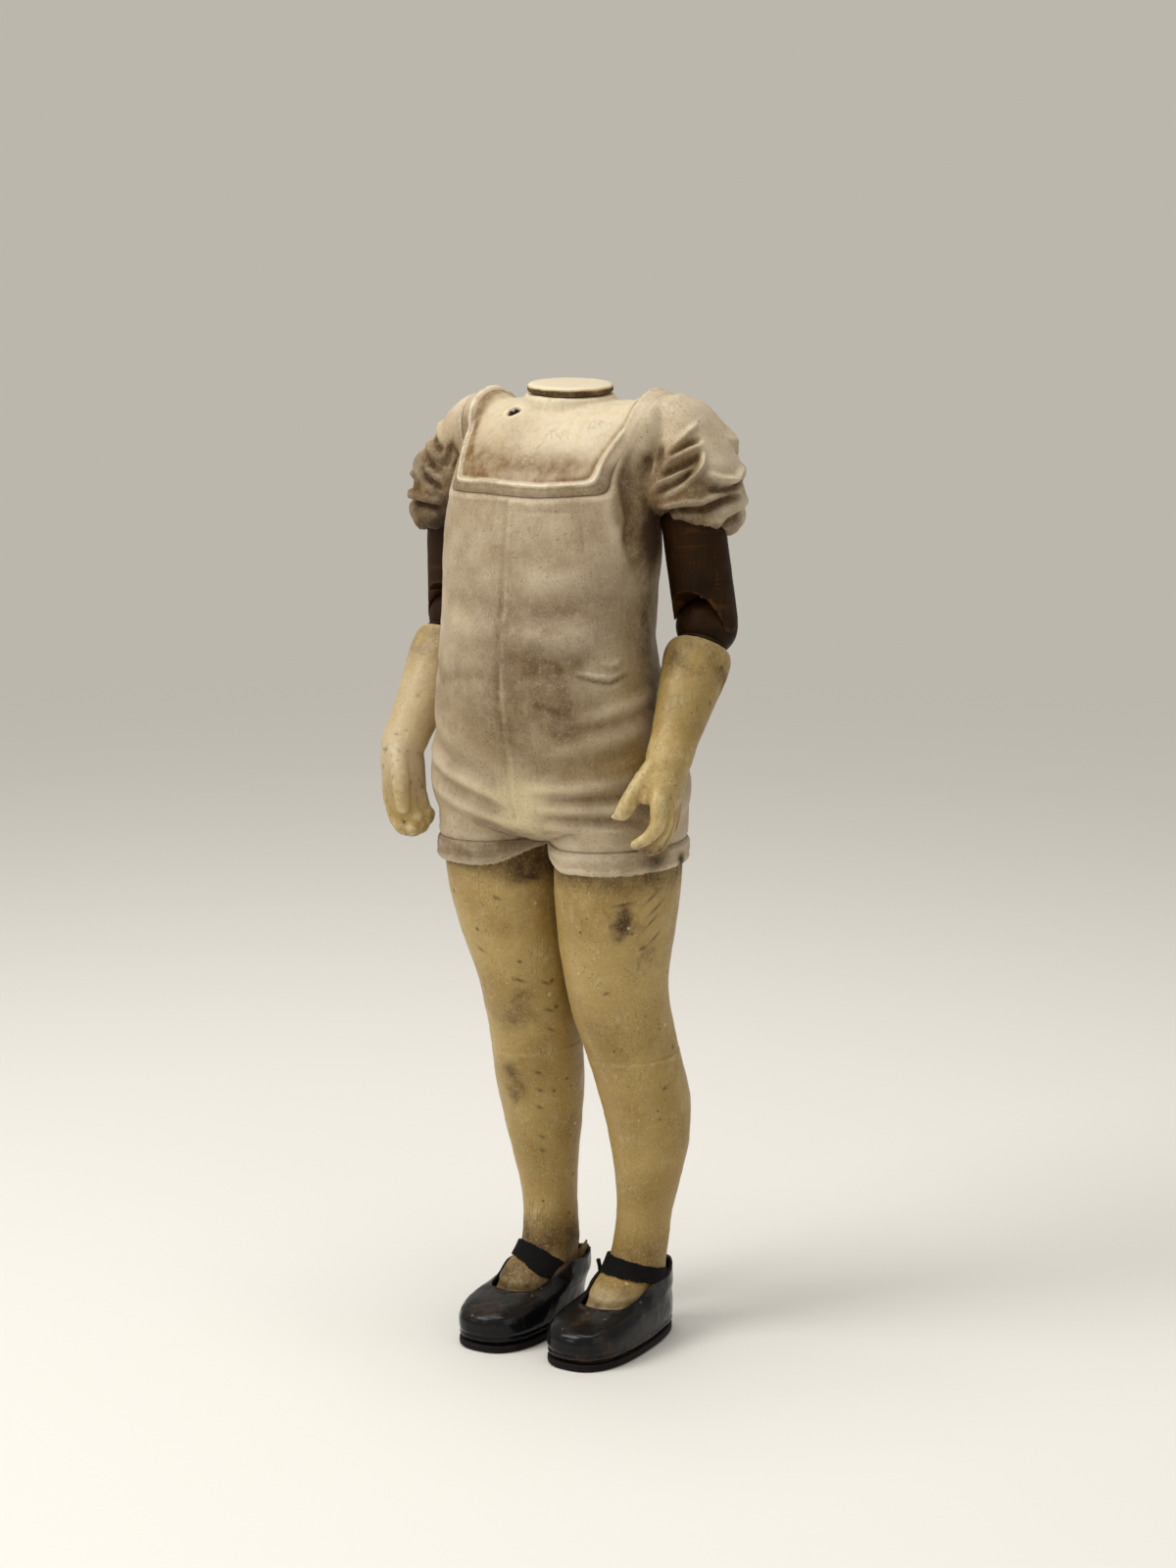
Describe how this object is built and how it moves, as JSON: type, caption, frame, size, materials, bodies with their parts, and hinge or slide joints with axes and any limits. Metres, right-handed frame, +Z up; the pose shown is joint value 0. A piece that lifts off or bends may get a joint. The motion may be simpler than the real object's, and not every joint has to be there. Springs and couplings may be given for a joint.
{
  "type": "jointed child mannequin",
  "caption": "Headless miniature child mannequin in a moulded romper with puff sleeves, wooden upper arms on elbow balls, cast forearms and legs, and strap shoes; it stands and holds arm poses.",
  "frame": {"origin": "floor level under the middle of the figure's bounding box", "axes": "+Z up, the figure faces -Y, its left side is +X"},
  "size_m": [0.0754, 0.0448, 0.2],
  "materials": {
    "romper": "grey-tinted aged casting resin with worn folds",
    "casting": "aged pale yellow casting resin, bare",
    "wood": "dark stained turned wood",
    "dowel": "plain dowel",
    "steel": "plain wire",
    "shoe": "dark blue-black, half gloss",
    "sole": "brown-black, dull",
    "washer": "dark brown"
  },
  "bodies": {
    "figure": {"torso": "romper", "neck_peg": "dowel", "left_leg": "casting", "right_leg": "casting", "left_hip_dowel": "dowel", "right_hip_dowel": "dowel", "left_shoe_upper": "shoe", "right_shoe_upper": "shoe", "left_shoe_sole": "sole", "right_shoe_sole": "sole", "left_shoe_strap": "shoe", "right_shoe_strap": "shoe"},
    "cap": {"neck_cap": "casting"},
    "left_arm": {"left_upper_arm": "wood", "left_shoulder_peg": "dowel", "left_elbow_link": "steel"},
    "left_elbow": {"left_elbow_ball": "wood", "left_elbow_pin": "steel", "left_forearm_peg": "dowel"},
    "left_hand": {"left_forearm": "casting", "left_elbow_washer": "washer"},
    "right_arm": {"right_upper_arm": "wood", "right_shoulder_peg": "dowel", "right_elbow_link": "steel"},
    "right_elbow": {"right_elbow_ball": "wood", "right_elbow_pin": "steel", "right_forearm_peg": "dowel"},
    "right_hand": {"right_forearm": "casting", "right_elbow_washer": "washer"}
  },
  "joints": [
    {"name": "neck_cap_turn", "type": "hinge", "parent": "figure", "child": "cap", "pos_m": [0, 0.0042, 0.198], "axis": [0, 0, 1], "continuous": true},
    {"name": "left_shoulder_turn", "type": "hinge", "parent": "figure", "child": "left_arm", "pos_m": [0.0295, 0.0082, 0.1526], "axis": [-0.0791, -0.1266, 0.9888], "range_deg": [0, 75]},
    {"name": "left_elbow_bend", "type": "hinge", "parent": "left_arm", "child": "left_elbow", "pos_m": [0.0295, 0.0082, 0.1526], "axis": [-0.9968, -0.0003, -0.0798], "range_deg": [0, 60]},
    {"name": "left_forearm_turn", "type": "hinge", "parent": "left_elbow", "child": "left_hand", "pos_m": [0.0295, 0.0082, 0.1526], "axis": [0.064, -0.6, -0.7974], "range_deg": [-20, 75]},
    {"name": "right_shoulder_turn", "type": "hinge", "parent": "figure", "child": "right_arm", "pos_m": [-0.0295, 0.0082, 0.149], "axis": [-0.0791, 0.1266, -0.9888], "range_deg": [0, 75]},
    {"name": "right_elbow_bend", "type": "hinge", "parent": "right_arm", "child": "right_elbow", "pos_m": [-0.0295, 0.0082, 0.149], "axis": [-0.9968, 0.0003, 0.0798], "range_deg": [0, 60]},
    {"name": "right_forearm_turn", "type": "hinge", "parent": "right_elbow", "child": "right_hand", "pos_m": [-0.0295, 0.0082, 0.149], "axis": [0.064, 0.6, 0.7974], "range_deg": [-20, 75]}
  ]
}
